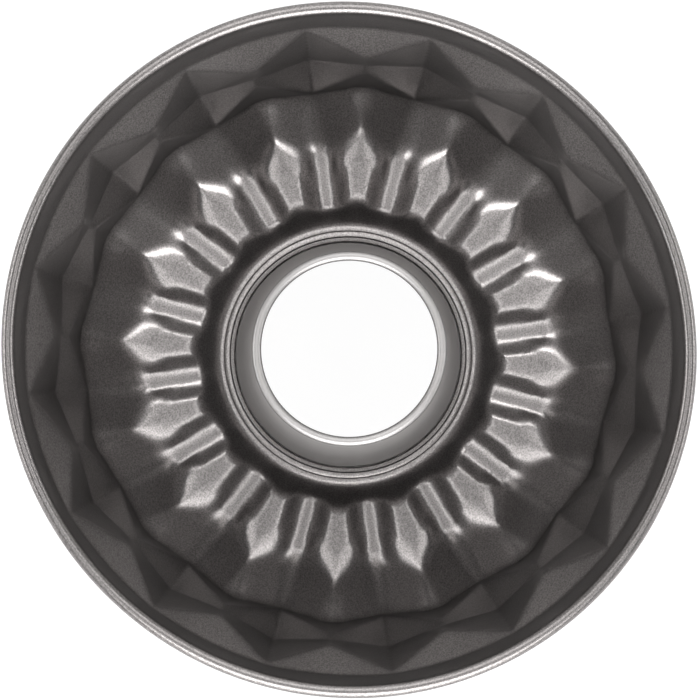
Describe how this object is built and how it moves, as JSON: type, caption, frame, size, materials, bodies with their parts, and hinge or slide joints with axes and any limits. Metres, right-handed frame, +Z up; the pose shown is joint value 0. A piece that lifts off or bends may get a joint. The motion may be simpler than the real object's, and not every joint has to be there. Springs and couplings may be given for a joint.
{
  "type": "mini fluted tube pan",
  "caption": "Small round baking tin with a faceted fluted wall, a star-patterned floor, a rolled rim and an open conical centre tube.",
  "frame": {"origin": "on the pan's axis, in the plane of the floor's underside that it stands on", "axes": "+Z up along the pan's axis, out of its open top; +X through the middle of one star of the floor"},
  "size_m": [0.16, 0.16, 0.0819],
  "materials": {
    "coated_steel": "warm grey metallic non-stick coating, satin, fine sparkle",
    "tube_steel": "smooth darker grey non-stick coating, satin",
    "wire_steel": "bare drawn wire"
  },
  "bodies": {
    "root": {"pan_body": "coated_steel", "centre_tube": "tube_steel", "rim_wire": "wire_steel"}
  },
  "joints": []
}
